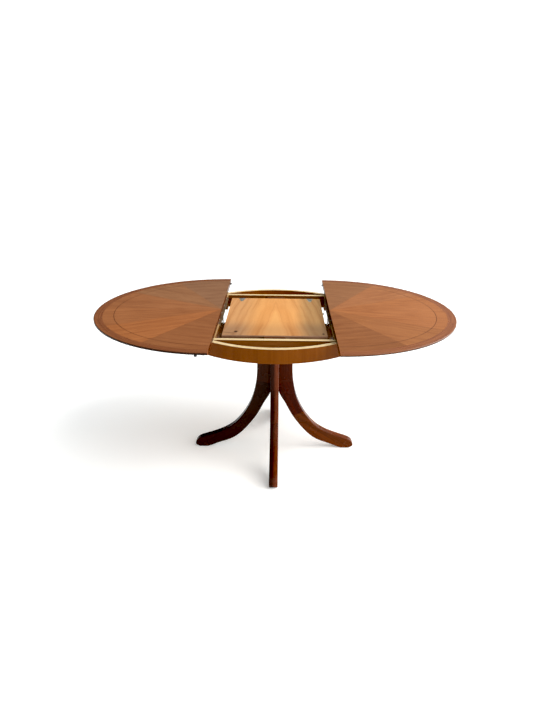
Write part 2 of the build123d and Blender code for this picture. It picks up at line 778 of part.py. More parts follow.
for name, (under, show, knuckles, pin_hole) in boards.items():
    z = tuple(sorted((under, show)))
    panel = block(leaf_x, (leaf_front + leaf_edge_strip, leaf_back), z)
    strip = block(leaf_x, (leaf_front, leaf_front + leaf_edge_strip), z)
    front_edges = strip.edges().filter_by(Axis.X).group_by(Axis.Y)[0].sort_by(Axis.Z)
    under_edge = front_edges[-1 if under > show else 0]
    strip = chamfer(under_edge, 4.0)
    plates = [hinge_leaf(sx * hinge_x, under, show, knuckles, pin_hole) for sx in (-1, 1)]
    screws = hinge_screws(under, show)
    for sx in (-1, 1):
        panel -= hinge_recess(sx * hinge_x, under, show)
    for screw in screws + (bracket_screws if name == "lower" else []):
        panel -= screw
        plates = [p - screw for p in plates]
    if name == "upper":
        inner = (leaf_width / 2 - pin_seat, side_pin_y, side_pin_height)
        panel -= rod(inner, (leaf_width, side_pin_y, side_pin_height), pin_radius)
        for sx, y in ((-1, left_pin_y), (1, right_pin_y)):
            inner = (sx * (leaf_width / 2 - pin_reach - 3), fold_y - y, side_pin_height)
            outer = (sx * leaf_width, fold_y - y, side_pin_height)
            panel -= rod(inner, outer, pin_radius + pin_hole_clearance)
        pull_low, pull_high = leaf_top - 4 - finger_pull[1], leaf_top - 4
        strip -= block(
            (finger_pull_x - finger_pull[0] / 2, finger_pull_x + finger_pull[0] / 2),
            (leaf_front - 1, leaf_front + finger_pull[2]), (pull_low, pull_high),
        )
    save(f"leaf_{name}_panel", panel)
    save(f"leaf_{name}_edge_strip", strip)
    save(f"leaf_{name}_hinge_leaves", *plates)
    save(f"leaf_{name}_screws", *screws, *(bracket_screws if name == "lower" else []))

pins = []
for sx in (-1, 1):
    pin_ends = [sx * hinge_x + half for half in (-hinge_width / 2, hinge_width / 2)]
    pin = fold_cylinder(hinge_pin_radius, *pin_ends)
    pins += [pin, bracket_pin(sx)]
save("leaf_pins", *pins)
seat = (leaf_width / 2 - pin_seat, side_pin_y, side_pin_height)
tip = (leaf_width / 2 + side_pin_reach, side_pin_y, side_pin_height)
side_length = pin_seat + side_pin_reach
side_shape = [(0, pin_radius), (side_length - 3, pin_radius), (side_length, 2.2)]
save("leaf_side_pin", turned(seat, tip, side_shape))
save("leaf_brackets", bracket(-1), bracket(1))


# ================================================================ swing mechanism on the frame
def swing_arm(sx):
    x0, x1 = sx * arm_x - arm_thickness / 2, sx * arm_x + arm_thickness / 2
    z = (bar_height - arm_width / 2, bar_height + arm_width / 2)
    arm = block((x0, x1), (0, arm_length), z)
    for y in (0, arm_length):
        arm += rod((x0, y, bar_height), (x1, y, bar_height), arm_width / 2)
    pin_hole = [(x, arm_length, bar_height) for x in (x0 - 1, x1 + 1)]
    return arm - rod(*pin_hole, bar_radius + running_clearance)


def steel_angle(sx):
    """Angle on the inner top corner of a cross rail, with the bearing hole of the cross bar."""
    inner, rail_top = cross_face_x - angle_web, frame_top
    web_low = frame_bottom + hollow_height
    web = block((inner, cross_face_x), angle_y, (web_low, rail_top))
    ear = block((inner, cross_face_x), (-12, 12), (bar_height - angle_below_bar, web_low))
    flange_x = (cross_face_x - angle_flange_in, cross_face_x + angle_flange_over)
    flange = block(flange_x, angle_y, (rail_top, rail_top + angle_flange))
    whole = web + ear + flange
    whole -= rod((0, 0, bar_height), (2 * cross_face_x, 0, bar_height), bar_radius + running_clearance)
    return whole if sx > 0 else mirror(whole, about=Plane.YZ)


angle_screw_y = (-138.0, -84.0, 20.0, 140.0, 262.0)


def angle_screws(sx):
    """Flat-headed screws down through the flange into the cross rail."""
    x = sx * (cross_face_x + 7)
    top = frame_top + angle_flange
    shape = [(0, 3.0), (0.9, 4.0), (0.91, 1.8), (12, 1.8), (14, 0.3)]
    return [turned((x, y, top + 0.9), (x, y, top - 13.1), shape) for y in angle_screw_y]


steel = [steel_angle(-1), steel_angle(1)]
flange_screws = angle_screws(-1) + angle_screws(1)
for screw in flange_screws:
    steel = [angle - screw for angle in steel]
    for name in crosses:
        crosses[name] -= screw
save("steel_angles", *steel)
for name, bar in crosses.items():
    save(f"cross_rail_{name}", bar)
save("frame_screws", *column_screws, *rail_screws, *flange_screws)
bar_end = cross_face_x - 0.5
swing_bar = rod((-bar_end, 0, bar_height), (bar_end, 0, bar_height), bar_radius)
save("swing_arms_and_bar", swing_bar + swing_arm(-1) + swing_arm(1))
rest_y, rest_length = 230.0, 40.0
rest_z = (frame_bottom, leaf_bottom)
back_rest = block((-lap, lap), (rest_y - rest_length / 2, rest_y + rest_length / 2), rest_z)
save("leaf_rests", mirrored_y(back_rest), back_rest)

print(f"arm length {arm_length:.2f}, sweep {math.degrees(arm_sweep):.3f} degrees")
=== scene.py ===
# %% [markdown]
# # A round pedestal table with a leaf that folds away
#
# The table is cabinet work: two half round tops on wooden runners, a curved
# apron, a folding leaf that swings up out of the frame, and four swept legs
# glued up from blocks. Its shapes come finished from the workshop drawing,
# so the lesson here is about finish: veneer, lacquer, bare edges and metal.

# %% The fixed frame
import math

import bpy
from mathutils import Matrix, Vector

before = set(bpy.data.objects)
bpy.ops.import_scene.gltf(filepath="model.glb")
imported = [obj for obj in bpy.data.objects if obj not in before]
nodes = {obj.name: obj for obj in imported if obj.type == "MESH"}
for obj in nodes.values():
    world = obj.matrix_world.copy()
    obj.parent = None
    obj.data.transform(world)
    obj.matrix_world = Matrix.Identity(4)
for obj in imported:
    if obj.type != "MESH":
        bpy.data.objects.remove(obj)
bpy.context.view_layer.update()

# %% [markdown]
# ## Writing shader trees as sums
#
# A finish is a tree of nodes. It could be clicked together, or written one
# node and one link at a time, but then nobody can read it. Here a small class
# wraps the output of a node, so that `streaks * 0.4 + pores` builds the Math
# nodes by itself, and a second class adds every other node with one method.

# %% One output that takes part in sums
class Wire:
    """The output of a shader node. Sums of wires add Math nodes."""

    def __init__(self, finish, socket):
        self.finish = finish
        self.socket = socket

    def math(self, operation, *values):
        kind = {"operation": operation}
        return self.finish.add("ShaderNodeMath", kind, dict(enumerate(values)))

    def __add__(self, other):
        return self.math("ADD", self, other)

    def __radd__(self, other):
        return self.math("ADD", other, self)

    def __sub__(self, other):
        return self.math("SUBTRACT", self, other)

    def __rsub__(self, other):
        return self.math("SUBTRACT", other, self)

    def __mul__(self, other):
        return self.math("MULTIPLY", self, other)

    def __rmul__(self, other):
        return self.math("MULTIPLY", other, self)

    def __truediv__(self, other):
        return self.math("DIVIDE", self, other)

    def __rtruediv__(self, other):
        return self.math("DIVIDE", other, self)

    def __abs__(self):
        return self.math("ABSOLUTE", self)


# %% A tree of nodes, and the one method that adds a node to it
class Tree:
    """The nodes of a finish or of the surroundings."""

    def __init__(self, owner):
        owner.use_nodes = True
        self.tree = owner.node_tree

    def add(self, kind, settings=None, values=None, output=0):
        """One node: its settings first, then its sockets. With output=None, all its outputs."""
        node = self.tree.nodes.new(kind)
        for name, setting in (settings or {}).items():
            if name == "stops":
                self.set_stops(node.color_ramp, setting)
            else:
                setattr(node, name, setting)
        self.fill(node, values or {})
        if output is None:
            return [Wire(self, socket) for socket in node.outputs]
        return Wire(self, node.outputs[output])

    def set_stops(self, ramp, stops):
        """Hard steps from one colour to the next, as veneers lie side by side."""
        ramp.interpolation = "CONSTANT"
        while len(ramp.elements) < len(stops):
            ramp.elements.new(1.0)
        for element, (position, colour) in zip(ramp.elements, stops):
            element.position = position
            element.color = colour

    def fill(self, node, values):
        for name, value in values.items():
            if isinstance(value, Wire):
                self.tree.links.new(value.socket, node.inputs[name])
            else:
                node.inputs[name].default_value = value


class Finish(Tree):
    """A material built on the Principled shader."""

    def __init__(self, name):
        self.material = bpy.data.materials.new(name)
        super().__init__(self.material)

    def surface(self, **values):
        sockets = {name.replace("_", " "): value for name, value in values.items()}
        self.fill(self.tree.nodes["Principled BSDF"], sockets)
        return self.material


# %% Colours and places
def tint(red, green, blue):
    """A colour from its usual 0 to 255 numbers, as the shader wants it."""
    linear = [((part / 255 + 0.055) / 1.055) ** 2.4 for part in (red, green, blue)]
    return (*linear, 1.0)


def grey(value):
    return (value, value, value, 1.0)


def place(finish):
    """Where a point of the surface is, in metres, carried along by its piece."""
    return finish.add("ShaderNodeTexCoord", output=3)


def parts_of(finish, point):
    """The x, y and z of a point, as three wires."""
    return finish.add("ShaderNodeSeparateXYZ", values={0: point}, output=None)


def joined(finish, x, y, z):
    return finish.add("ShaderNodeCombineXYZ", values={0: x, 1: y, 2: z})


def scaled(finish, point, amounts):
    values = {0: point, 1: amounts}
    return finish.add("ShaderNodeVectorMath", {"operation": "MULTIPLY"}, values)


# %% Noise, masks, mixes and relief
def noise(finish, point, scale=1.0, detail=3.0, rough=0.5, bend=0.0):
    values = {"Vector": point, "Scale": scale, "Detail": detail}
    values.update({"Roughness": rough, "Distortion": bend})
    return finish.add("ShaderNodeTexNoise", values=values)


def above(finish, value, low, high):
    """0 below low, 1 above high, and a soft step from one to the other."""
    values = {"Value": value, "From Min": low, "From Max": high}
    return finish.add("ShaderNodeMapRange", {"interpolation_type": "SMOOTHSTEP"}, values)


def below(finish, value, low, high):
    """1 below low, 0 above high, and a soft step from one to the other."""
    return 1.0 - above(finish, value, low, high)


def mixed(finish, mask, first, second, way="MIX"):
    settings = {"data_type": "RGBA", "blend_type": way}
    return finish.add("ShaderNodeMix", settings, {0: mask, 6: first, 7: second}, output=2)


def toned(finish, mask, body, tone):
    """The body multiplied by a tone, where the mask lets it."""
    return mixed(finish, mask, body, tone, "MULTIPLY")


def raised(finish, height, depth):
    """A bump, with its full height in metres."""
    values = {"Height": height, "Distance": depth, "Strength": 1.0}
    return finish.add("ShaderNodeBump", values=values)


print("helpers ready")

# %% [markdown]
# ## What all the wood shares
#
# Wood is a bundle of long fibres. Seen from outside it shows broad bands from
# the growth rings, fine streaks between them, and short dark pores. Each of
# these could be a picture of a board, but a picture repeats and smears round
# corners. Noise that is stretched a long way along the fibres and kept tight
# across them gives the same look inside the solid, so that end grain, edges
# and faces agree.

# %% What every wood shares
EVEN_SPLIT = (0.3, 0.7)  # turns a noise, which keeps to its middle, into a full 0 to 1
LACQUERED_RELIEF, GRAIN_RELIEF, OPEN_RELIEF = 0.00006, 0.00008, 0.0001  # metres
SEED_STEP = (1.7, 0.9, 2.3)  # how far apart two boards lie in the noise
STREAKS_SHORTER = 5  # times shorter than the bands
PORE_LENGTH = 0.006
PORE_WIDTH = 0.0004
PORE_EDGE = (0.60, 0.72)
VENEER_GRAIN = {"long": 0.34, "broad": 0.016, "fine": 0.0022}


# %% Bands, streaks and pores along the x axis of a stretched space
def fibres(finish, point, seed, long=0.30, broad=0.012, fine=0.0016):
    """Three wires from 0 to 1 for wood whose fibres run along x."""
    shift = {0: point, 1: tuple(seed * step for step in SEED_STEP)}
    shifted = finish.add("ShaderNodeVectorMath", {"operation": "ADD"}, shift)
    band_sizes = (1 / long, 1 / broad, 1 / broad)
    streak_sizes = (STREAKS_SHORTER / long, 1 / fine, 1 / fine)
    pore_sizes = (1 / PORE_LENGTH, 1 / PORE_WIDTH, 1 / PORE_WIDTH)
    bands = noise(finish, scaled(finish, shifted, band_sizes), detail=2.0, bend=0.6)
    streaks = noise(finish, scaled(finish, shifted, streak_sizes), detail=2.0)
    pores = noise(finish, scaled(finish, shifted, pore_sizes), detail=1.0)
    return bands, streaks, above(finish, pores, *PORE_EDGE)


def wood_colour(finish, grain, light, dark, deep, depth=0.5):
    """Light to dark wood by its bands and streaks, with darker pores."""
    bands, streaks, pores = grain
    broad_part = above(finish, bands, 0.30, 0.72) * 0.65
    fine_part = above(finish, streaks, *EVEN_SPLIT) * 0.35
    body = mixed(finish, broad_part + fine_part, light, dark)
    return mixed(finish, pores * depth, body, deep)


print("wood grain ready, with pores", PORE_WIDTH * 1000, "mm wide")

# %% [markdown]
# ## The sunburst tops
#
# The show side of each half is veneer laid as a sunburst: six wedges of 30
# degrees that meet in the middle of the cut. A thin dark line is let in near
# the rim, and the ring outside it is cut from the same wedges. The leaves of
# veneer could be separate thin solids, but they are 0.6 mm thick and flush,
# so they are drawn in the finish, from the angle and distance to the centre.

# %% Measures of the tops
HALF_CENTRE = 0.253  # from the middle of the table to each cut, opened
TOP_RADIUS = 0.575
TOP_FACE = 0.7236  # height at which the show veneer starts
FACE_STEP = 0.0012  # depth over which the show veneer gives way to the edge
BACKING_FACE = (0.7022, 0.7026)  # heights between which the backing veneer gives way
VENEER_RADIUS = 0.537
RIM_JOINT = (VENEER_RADIUS - 0.0012, VENEER_RADIUS - 0.0002)
LINE_RADIUS = 0.487
LINE_HALF = 0.0012
SEAM_HALF = (0.0002, 0.0009)  # a seam is full up to the first and gone at the second
print("the tops are", 2 * TOP_RADIUS, "m across, with their centres", 2 * HALF_CENTRE, "m apart")

# %% The pattern and the woods of the tops
WEDGES = 6
WEDGE_ANGLE = math.radians(180 / WEDGES)
GRAIN_TURNS = (15, -28, -12, 12, 28, -15)  # degrees, from the front wedge to the back
WEDGE_SHIFT = 0.37  # how far apart two wedges lie in the noise
FLAME_SIZES = (9.0, 26.0, 1.0)
BACKING_SIZES = (5.0, 90.0, 5.0)
FIELD_WOOD = tint(161, 107, 69), tint(129, 79, 48)
LIPPING_WOOD = tint(92, 46, 24), tint(62, 30, 16)
BACKING_WOOD = tint(164, 118, 74), tint(134, 90, 52)
FIELD_PORE = tint(70, 32, 14)
SEAM_GLUE = tint(80, 38, 16)
RIM_GLUE = tint(80, 38, 22)
LINE_WOOD = tint(52, 22, 12)
RING_TONE = (0.94, 0.93, 0.92, 1.0)
print(WEDGES, "wedges to each half, with their grain turned by", GRAIN_TURNS)


# %% Where a point lies on one half
def round_the_centre(finish, side):
    """Outward from the cut, along the cut, height, angle and distance from the half's centre."""
    x, y, z = parts_of(finish, place(finish))
    outward = (x - side * HALF_CENTRE) * side
    angle = finish.add("ShaderNodeMath", {"operation": "ARCTAN2"}, {0: y, 1: outward})
    squared = outward * outward + y * y
    distance = finish.add("ShaderNodeMath", {"operation": "SQRT"}, {0: squared})
    return outward, y, z, angle, distance


def line_let_in(finish, off_middle):
    """1 on the thin dark line, from the distance to its middle."""
    return below(finish, abs(off_middle), LINE_HALF * 0.8, LINE_HALF * 1.3)


# %% The finish of one half
def sunburst(name, side, tones, seed):
    finish = Finish(name)
    outward, y, z, angle, distance = round_the_centre(finish, side)
    share = (angle * (180 / math.pi) + 90.0) / 180.0  # 0 at the front of the cut, 1 at the back
    number = finish.add("ShaderNodeMath", {"operation": "FLOOR"}, {0: share * WEDGES})

    # each wedge has its own way of the grain and its own piece of the pattern
    stops = [(k / WEDGES, grey(0.5 + turn / 180)) for k, turn in enumerate(GRAIN_TURNS)]
    turn = (finish.add("ShaderNodeValToRGB", {"stops": stops}, {0: share}) - 0.5) * math.pi
    flat = {"Vector": joined(finish, outward, y, 0.0), "Angle": 0.0 - turn}
    laid = finish.add("ShaderNodeVectorRotate", {"rotation_type": "Z_AXIS"}, flat)
    laid_x, laid_y, _ = parts_of(finish, laid)
    piece = joined(finish, laid_x, laid_y, number * WEDGE_SHIFT)
    bands, streaks, pores = fibres(finish, piece, seed, **VENEER_GRAIN)

    # the flame: slow cross bands that shimmer under the lacquer
    flame = noise(finish, scaled(finish, piece, FLAME_SIZES), detail=2.0, bend=1.2)
    cross_part = above(finish, flame, *EVEN_SPLIT) * 0.22
    amount = above(finish, bands, 0.28, 0.75) * 0.5 + streaks * 0.28 + cross_part
    # each wedge tone is partly the veneer's own and partly painted light: a painted bluish sheen
    # towards the back, and the right half painted lighter
    stops = [(k / WEDGES, tone) for k, tone in enumerate(tones)]
    wedge_tone_and_light = finish.add("ShaderNodeValToRGB", {"stops": stops}, {0: share})
    body = toned(finish, 1.0, mixed(finish, amount, *FIELD_WOOD), wedge_tone_and_light)
    body = mixed(finish, pores * 0.35, body, FIELD_PORE)

    # the ring outside the line is a little duller than the field
    ring = above(finish, distance, LINE_RADIUS, LINE_RADIUS + 0.001)
    body = toned(finish, ring * 0.55, body, RING_TONE)

    # seams between wedges, the line and the glue joint with the rim
    nearest = finish.add("ShaderNodeMath", {"operation": "ROUND"}, {0: share * WEDGES})
    off_seam = abs(share * WEDGES - nearest) * WEDGE_ANGLE * distance
    body = mixed(finish, below(finish, off_seam, *SEAM_HALF) * 0.45, body, SEAM_GLUE)
    line = line_let_in(finish, distance - LINE_RADIUS)
    body = mixed(finish, line * 0.85, body, LINE_WOOD)
    rim = above(finish, distance, *RIM_JOINT)
    body = mixed(finish, rim * 0.6, body, RIM_GLUE)

    # the cut edge is lipped in solid wood, and the underside has a plain backing veneer
    lipping = mixed(finish, above(finish, streaks, *EVEN_SPLIT), *LIPPING_WOOD)
    body = mixed(finish, below(finish, z, TOP_FACE - FACE_STEP, TOP_FACE), body, lipping)
    plain = noise(finish, scaled(finish, place(finish), BACKING_SIZES), detail=3.0)
    backing = mixed(finish, above(finish, plain, *EVEN_SPLIT), *BACKING_WOOD)
    under = below(finish, z, *BACKING_FACE)
    body = mixed(finish, under, body, backing)

    # lacquer: satin, a little duller in patches where it has been wiped
    worn = noise(finish, place(finish), scale=6.0, detail=4.0)
    rough = 0.26 + worn * 0.16 + under * 0.3
    relief = raised(finish, streaks * 0.4 - pores - line * 0.5, LACQUERED_RELIEF)
    return finish.surface(Base_Color=body, Roughness=rough, Normal=relief, Specular_IOR_Level=0.15)


# %% The two halves, with the tone of each wedge from front to back, and painted light
# besides each wedge's own tone: a painted bluish sheen on the back wedges, most on the left half,
# and the right half painted lighter, as light falls from the right
left_wedge_tones_and_light = (
    (0.82, 0.80, 0.79, 1), (1.06, 0.98, 0.87, 1), (0.96, 0.94, 0.92, 1),
    (0.94, 0.94, 0.95, 1), (0.86, 1.00, 1.15, 1), (0.76, 0.96, 1.25, 1),
)
right_wedge_tones_and_light = (
    (0.80, 0.77, 0.71, 1), (1.00, 0.97, 0.86, 1), (1.12, 1.06, 0.92, 1),
    (1.12, 1.06, 0.92, 1), (1.08, 1.08, 1.05, 1), (0.86, 0.96, 1.05, 1),
)
left_top = sunburst("sunburst_left", -1, left_wedge_tones_and_light, 1)
right_top = sunburst("sunburst_right", 1, right_wedge_tones_and_light, 2)
print("two sunburst halves of", WEDGES, "wedges")

# %% [markdown]
# ## The rims
#
# Round the veneer runs a band of solid wood, darker and redder than the
# field, with a wide bevel underneath. It is glued up from curved lengths, so
# its grain follows the rim. Straight noise would cut across the curve; the
# grain is therefore laid in the angle and the distance from the centre.

# %% The band that follows the curve
SCARF = 36.0  # degrees of rim in one length of the band
RIM_MIDDLE = 0.556  # radius at which an angle is turned into a length
LENGTH_SHIFT = 0.23  # how far apart two lengths lie in the noise
UPRIGHT_FACE = (TOP_RADIUS - 0.0036, TOP_RADIUS - 0.0014)
RIM_WOOD = (140, 88, 55), (108, 62, 38)
RIM_PORE = tint(54, 26, 16)
RIM_TONE = (0.80, 0.78, 0.80, 1)
DARK_RIM_EDGE = tint(24, 12, 9)
DARK_LINE = (0.7185, 0.7205)  # heights below which the upright face is darker


def rim_band(name, side, painted_lightness, edge_stain_and_shade, seed):
    """How light the band is, and how dark its upright face is from 0 to 1, both partly paint
    light: the lit right half is painted lighter, the shaded left half's upright face darker.
    """
    finish = Finish(name)
    _, _, z, angle, distance = round_the_centre(finish, side)
    lengths = angle * (180 / math.pi / SCARF) + 0.5
    length = finish.add("ShaderNodeMath", {"operation": "FLOOR"}, {0: lengths})
    laid = joined(finish, angle * RIM_MIDDLE, distance, z + length * LENGTH_SHIFT)
    grain = fibres(finish, laid, seed, long=0.24, broad=0.007, fine=0.0012)
    light, dark = (tint(*(part * painted_lightness for part in wood)) for wood in RIM_WOOD)
    body = wood_colour(finish, grain, light, dark, RIM_PORE, 0.35)

    # every length came from another plank
    tone = noise(finish, joined(finish, length * 3.1, 0.5, seed), scale=1.0, detail=0.0)
    body = toned(finish, tone * 0.5, body, RIM_TONE)

    # the upright face is darker than the top: partly stain, partly painted shade, most where it is
    # turned from the light
    upright_face = above(finish, distance, *UPRIGHT_FACE)
    body = mixed(finish, upright_face * edge_stain_and_shade, body, DARK_RIM_EDGE)
    # and darker still towards its lower edge
    lower_half = below(finish, z, *DARK_LINE)
    body = mixed(finish, upright_face * lower_half * 0.9, body, DARK_RIM_EDGE)
    worn = noise(finish, place(finish), scale=9.0, detail=4.0)
    rough = 0.2 + worn * 0.16
    relief = raised(finish, grain[1] * 0.4 - grain[2], LACQUERED_RELIEF)
    return finish.surface(Base_Color=body, Roughness=rough, Normal=relief, Specular_IOR_Level=0.2)


# painted light: the right band is painted lighter with its upright face only a little darkened;
# the left band's upright face is painted nearly black, as it lies in shade
left_rim = rim_band("rim_band_left", -1, 1.0, 0.86, 3)
right_rim = rim_band("rim_band_right", 1, 1.08, 0.3, 4)
print("rim bands ready, in lengths of", round(TOP_RADIUS * math.radians(SCARF), 3), "m")

# %% [markdown]
# ## The folding leaf
#
# The leaf is stored face down, so the side that shows in the open table is
# its underside: a pair of crown cut leaves of veneer, opened like a book about
# the middle line, with only a thin clear coat. The show side matches the tops
# and carries on their dark line. Both sides are in one finish, told apart by
# height in the stored place; two finishes would need the solid cut in two.

# %% Measures of the leaf
LEAF_BACK = 0.2870
LINE_FROM_END = TOP_RADIUS - LINE_RADIUS
UPPER_FACES = (0.696, 0.676)  # stored heights of the underside and the show face
LOWER_FACES = (0.655, 0.675)
FACE_FADE = (0.0003, 0.0010)  # depth over which a face gives way to the edge
CROWN_TIP = 0.16  # how far back the middle arch reaches
CROWN_SPREAD = 0.11
print("the leaf's line runs", round(LINE_FROM_END, 3), "m from each end")

# %% The woods of the leaf
UNDER_WOOD = tint(216, 160, 98), tint(178, 116, 60)
UNDER_PORE = tint(130, 80, 40)
HEART, VEIN, FLANK = tint(226, 178, 112), tint(160, 98, 48), tint(150, 88, 42)
WARM_MIDDLE, CLOUD = tint(218, 148, 80), tint(196, 140, 84)
FRONT_SHADE = (0.46, 0.52, 0.74, 1)
RIGHT_TONE = (0.52, 0.61, 0.72, 1)
LEFT_TONE = (0.80, 0.84, 1.08, 1)
STRIP_WOOD = (tint(140, 88, 55), tint(108, 62, 38)), (tint(140, 106, 82), tint(108, 78, 58))
SHEET_WOOD = (tint(160, 107, 63), tint(128, 79, 42)), (tint(120, 84, 56), tint(88, 58, 38))

# %% Small marks of use: a scratch, and two dark spots
SCRATCH_WOOD, SPOT_WOOD = tint(84, 58, 42), tint(44, 26, 16)
SCRATCH_X, SCRATCH_Y, SCRATCH_SLOPE = -0.198, -0.2520, 0.25
SCRATCH_LENGTH, SCRATCH_WIDTH = (0.022, 0.027), (0.0020, 0.0048)  # halves, full and faded
SPOTS = ((-0.1690, -0.2380, 0.0076), (0.2090, -0.2590, 0.0058))  # x, y and size
SPOT_STRETCH = 0.4  # a spot is longer front to back


def marked(finish, body, x, y):
    off_line = abs(y - SCRATCH_Y + (x + 0.2) * SCRATCH_SLOPE)
    across = below(finish, off_line, *SCRATCH_WIDTH)
    along = below(finish, abs(x - SCRATCH_X), *SCRATCH_LENGTH)
    body = mixed(finish, across * along * 0.75, body, SCRATCH_WOOD)
    for spot_x, spot_y, size in SPOTS:
        off_x, off_y = x - spot_x, y - spot_y
        off = off_x * off_x + off_y * off_y * SPOT_STRETCH
        spot = below(finish, off, size * size * 0.5, size * size * 1.4)
        body = mixed(finish, spot * 0.85, body, SPOT_WOOD)
    return body


# %% Measures of the crown figure
WANDER_SIZES, RING_SIZES = (7.0, 5.0), (60.0, 1.2)  # noise steps to a metre, across and along
FINE_SIZES, SPECK_SIZES = (420.0, 9.0), (2400.0, 150.0)
HEART_EDGE = (-0.012, 0.002)  # distances from the middle arch, like those of the next lines
VEIN_START, VEIN_END = (0.001, 0.006), (0.007, 0.012)
FLANK_START, FLANK_END = (0.014, 0.024), (0.026, 0.040)
WARM_EDGE = (0.03, 0.12)
FRONT_EDGE = (-0.22, -0.05)  # y, from the shaded front to the open middle
RIGHT_EDGE, LEFT_EDGE = (0.080, 0.165), (-0.18, -0.06)  # x


# %% The underside: nested arches about the middle line, with their tips to the back
def figure(finish, across, along, sizes, seed, **details):
    """Noise in the plane of the veneer, with its own size across and along."""
    plane = joined(finish, across * sizes[0], along * sizes[1], seed)
    return noise(finish, plane, **details)


def crown_veneer(finish, x, y, seed):
    """The colour of the crown cut veneer, with its fine streaks and its pores."""
    mirrored = abs(x)
    wander = figure(finish, mirrored, y, WANDER_SIZES, seed, detail=3.0) - 0.5
    arch = mirrored + (y - CROWN_TIP) * CROWN_SPREAD + wander * 0.03
    rings = figure(finish, arch, y, RING_SIZES, seed + 0.5, detail=3.0, rough=0.6)
    fine = figure(finish, arch, y, FINE_SIZES, seed + 3.5, detail=2.0)
    specks = above(finish, figure(finish, x, y, SPECK_SIZES, seed, detail=1.0), 0.6, 0.74)
    amount = above(finish, rings, 0.36, 0.68) * 0.6 + fine * 0.4
    tan = mixed(finish, amount, *UNDER_WOOD)

    # the pale heart, a darker vein beside it, and darker flanks towards the front
    tan = mixed(finish, below(finish, arch, *HEART_EDGE) * 0.55, tan, HEART)
    vein = above(finish, arch, *VEIN_START) * below(finish, arch, *VEIN_END)
    tan = mixed(finish, vein * 0.45, tan, VEIN)
    front = below(finish, y, *FRONT_EDGE)
    flank = above(finish, arch, *FLANK_START) * below(finish, arch, *FLANK_END) * front
    tan = mixed(finish, flank * 0.75, tan, FLANK)

    # painted shade over the front, where the leaf lies in shadow; then a warmer middle, clouds, a
    # duller tone right of the middle and a cooler one at the left
    tan = toned(finish, front * 0.75, tan, FRONT_SHADE)
    tan = mixed(finish, below(finish, arch, *WARM_EDGE) * 0.35, tan, WARM_MIDDLE)
    cloud = above(finish, noise(finish, place(finish), scale=7.0, detail=3.0), 0.35, 0.75)
    tan = mixed(finish, cloud * 0.25, tan, CLOUD)
    right_of_middle = above(finish, x + wander * 0.05, *RIGHT_EDGE)
    tan = toned(finish, right_of_middle * 0.8, tan, RIGHT_TONE)
    tan = toned(finish, below(finish, x, *LEFT_EDGE) * 0.7, tan, LEFT_TONE)
    return mixed(finish, specks * 0.3, tan, UNDER_PORE), fine, specks


# %% Both faces of one board
def leaf_board(name, faces, seed, solid_strip=False):
    """faces are the stored heights of the underside and the show face.

    The solid strip along the end shows on the face and the edge; underneath, veneer covers it.
    """
    finish = Finish(name)
    x, y, z = parts_of(finish, place(finish))
    under_face, show_face = faces
    up = 1.0 if under_face > show_face else -1.0
    tan, fine, specks = crown_veneer(finish, x, y, seed)
    if up > 0:
        tan = marked(finish, tan, x, y)

    # the show face, with the line let in where the tops have theirs
    grain = fibres(finish, joined(finish, x, y, z), seed, **VENEER_GRAIN)
    show_wood, edge_wood = STRIP_WOOD if solid_strip else SHEET_WOOD
    show = wood_colour(finish, grain, *show_wood, FIELD_PORE, 0.35)
    line = line_let_in(finish, y + LEAF_BACK - LINE_FROM_END)
    show = mixed(finish, line * 0.85, show, LINE_WOOD)
    edge = mixed(finish, above(finish, grain[1], *EVEN_SPLIT), *edge_wood)

    # which face a point is on, from its height
    is_under = below(finish, (under_face - z) * up, *FACE_FADE)
    is_show = below(finish, (z - show_face) * up, *FACE_FADE)
    body = mixed(finish, is_show, mixed(finish, is_under, edge, tan), show)
    worn = noise(finish, place(finish), scale=10.0, detail=4.0)
    rough = 0.34 + worn * 0.2
    relief = raised(finish, fine * 0.4 - specks * 0.8 - line * is_show, GRAIN_RELIEF)
    return finish.surface(Base_Color=body, Roughness=rough, Normal=relief, Specular_IOR_Level=0.3)


upper_board = leaf_board("leaf_upper_veneer", UPPER_FACES, 6)
lower_board = leaf_board("leaf_lower_veneer", LOWER_FACES, 7)
upper_strip = leaf_board("leaf_upper_edge_wood", UPPER_FACES, 6, solid_strip=True)
lower_strip = leaf_board("leaf_lower_edge_wood", LOWER_FACES, 7, solid_strip=True)
print("leaf boards ready")

# %% [markdown]
# ## The frame under the tops
#
# Aprons and rails are brown outside and left bare on their top edges, which
# are nearly white. A second strip of wood would also do it, but the real
# edge is only the board's own wood without stain, so the finish changes with
# height. The aprons are bent, and their veneer runs up and down, because it
# bends more easily that way.

# %% A board with straight grain
BARE_EDGE = tint(212, 192, 152), tint(192, 166, 122), tint(156, 122, 80)
DULL_EDGE = tint(178, 146, 104), tint(150, 118, 80), tint(120, 88, 56)
BARE_STEP = 0.0006  # height over which the bare edge begins
BARE_ABOVE = 0.699 - BARE_STEP


def straight_wood(name, axis, tones, seed, rough=0.3, pale=None, **grain_sizes):
    """Lacquered wood with its fibres along x, y or z. pale gives the tones of a bare top edge."""
    finish = Finish(name)
    point = place(finish)
    x, y, z = parts_of(finish, point)
    order = {"x": (x, y, z), "y": (y, x, z), "z": (z, x, y)}[axis]
    grain = fibres(finish, joined(finish, *order), seed, **grain_sizes)
    body = wood_colour(finish, grain, *tones)
    worn = noise(finish, point, scale=14.0, detail=4.0)
    shine = rough + worn * 0.18
    if pale:
        bare = above(finish, z, BARE_ABOVE - BARE_STEP, BARE_ABOVE)
        body = mixed(finish, bare, body, wood_colour(finish, grain, *pale, 0.4))
        shine = shine + bare * 0.2
    relief = raised(finish, grain[1] * 0.5 - grain[2], OPEN_RELIEF)
    return finish.surface(Base_Color=body, Roughness=shine, Normal=relief, Specular_IOR_Level=0.15)


